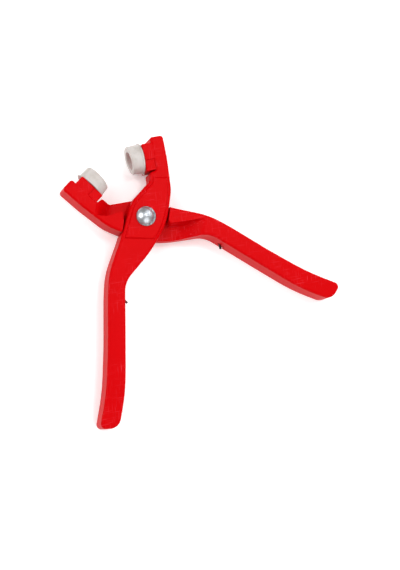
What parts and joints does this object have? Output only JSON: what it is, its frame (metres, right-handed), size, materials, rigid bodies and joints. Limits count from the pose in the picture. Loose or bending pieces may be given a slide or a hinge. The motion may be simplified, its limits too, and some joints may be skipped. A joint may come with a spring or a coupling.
{
  "type": "snap fastener pliers",
  "caption": "Red plastic pliers that press snap fasteners together: crossed levers on a rivet, with a push-on die cap on each jaw.",
  "frame": {"origin": "on the rivet's axis, in the plane of the rivet's flat clenched end and of the raised pad round it, which the tool lies on", "axes": "+Z along the rivet towards its domed head, +Y between the open jaws, handles towards -Y, front lever's jaw at +X"},
  "size_m": [0.1504, 0.1246, 0.0198],
  "materials": {
    "red_plastic": "satin moulded polypropylene",
    "white_plastic": "soft moulded polyethylene",
    "zinc_plate": "bright zinc plate",
    "spring_steel": "drawn spring wire"
  },
  "bodies": {
    "rear_side": {"rear_lever": "red_plastic", "pivot_rivet": "zinc_plate", "rear_washer": "zinc_plate", "rear_die_cap": "white_plastic", "return_spring": "spring_steel"},
    "front_side": {"front_lever": "red_plastic", "front_washer": "zinc_plate", "front_die_cap": "white_plastic"}
  },
  "joints": [
    {"name": "squeeze", "type": "hinge", "parent": "rear_side", "child": "front_side", "pos_m": [0, 0, 0.0083], "axis": [0, 0, 1], "range_deg": [0, 33.5], "stiffness_Nm_per_rad": 0.2, "springref_deg": -20.05, "deforming": ["return_spring"]}
  ]
}
